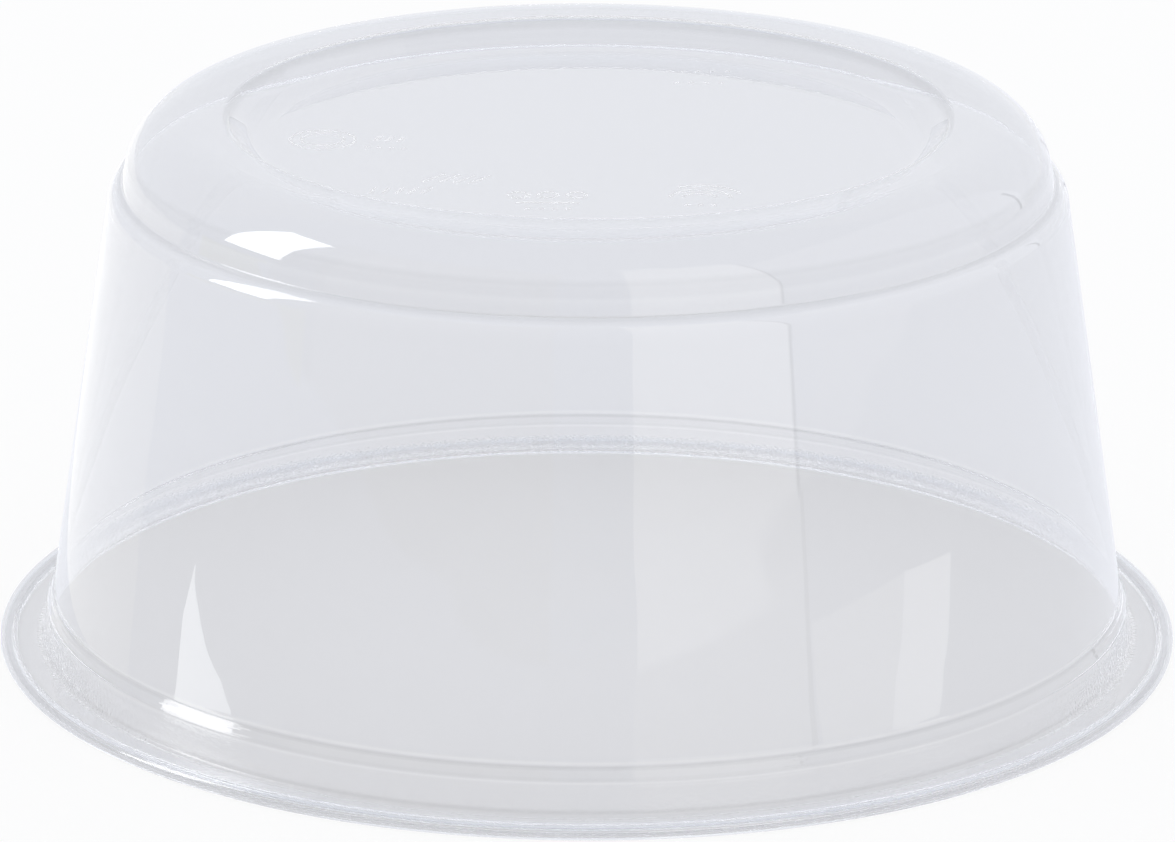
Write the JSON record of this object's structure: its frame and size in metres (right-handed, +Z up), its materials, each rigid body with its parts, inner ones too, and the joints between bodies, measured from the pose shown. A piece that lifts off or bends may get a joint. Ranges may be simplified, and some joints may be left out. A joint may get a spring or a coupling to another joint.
{
  "type": "deli container",
  "caption": "Round clear deli tub with a tapered wall, domed shoulder, sunken base panel and rolled rim for a press-on lid, standing upside down on its rim.",
  "frame": {"origin": "centre of the rim, on the surface that the tub stands on", "axes": "+Z up along the tub's axis, from the rim towards the base, because the tub stands upside down; X and Y are equal across it"},
  "size_m": [0.1174, 0.1174, 0.0543],
  "materials": {
    "clear_plastic": "clear, glossy thermoformed sheet"
  },
  "bodies": {
    "root": {"tub": "clear_plastic"}
  },
  "joints": []
}
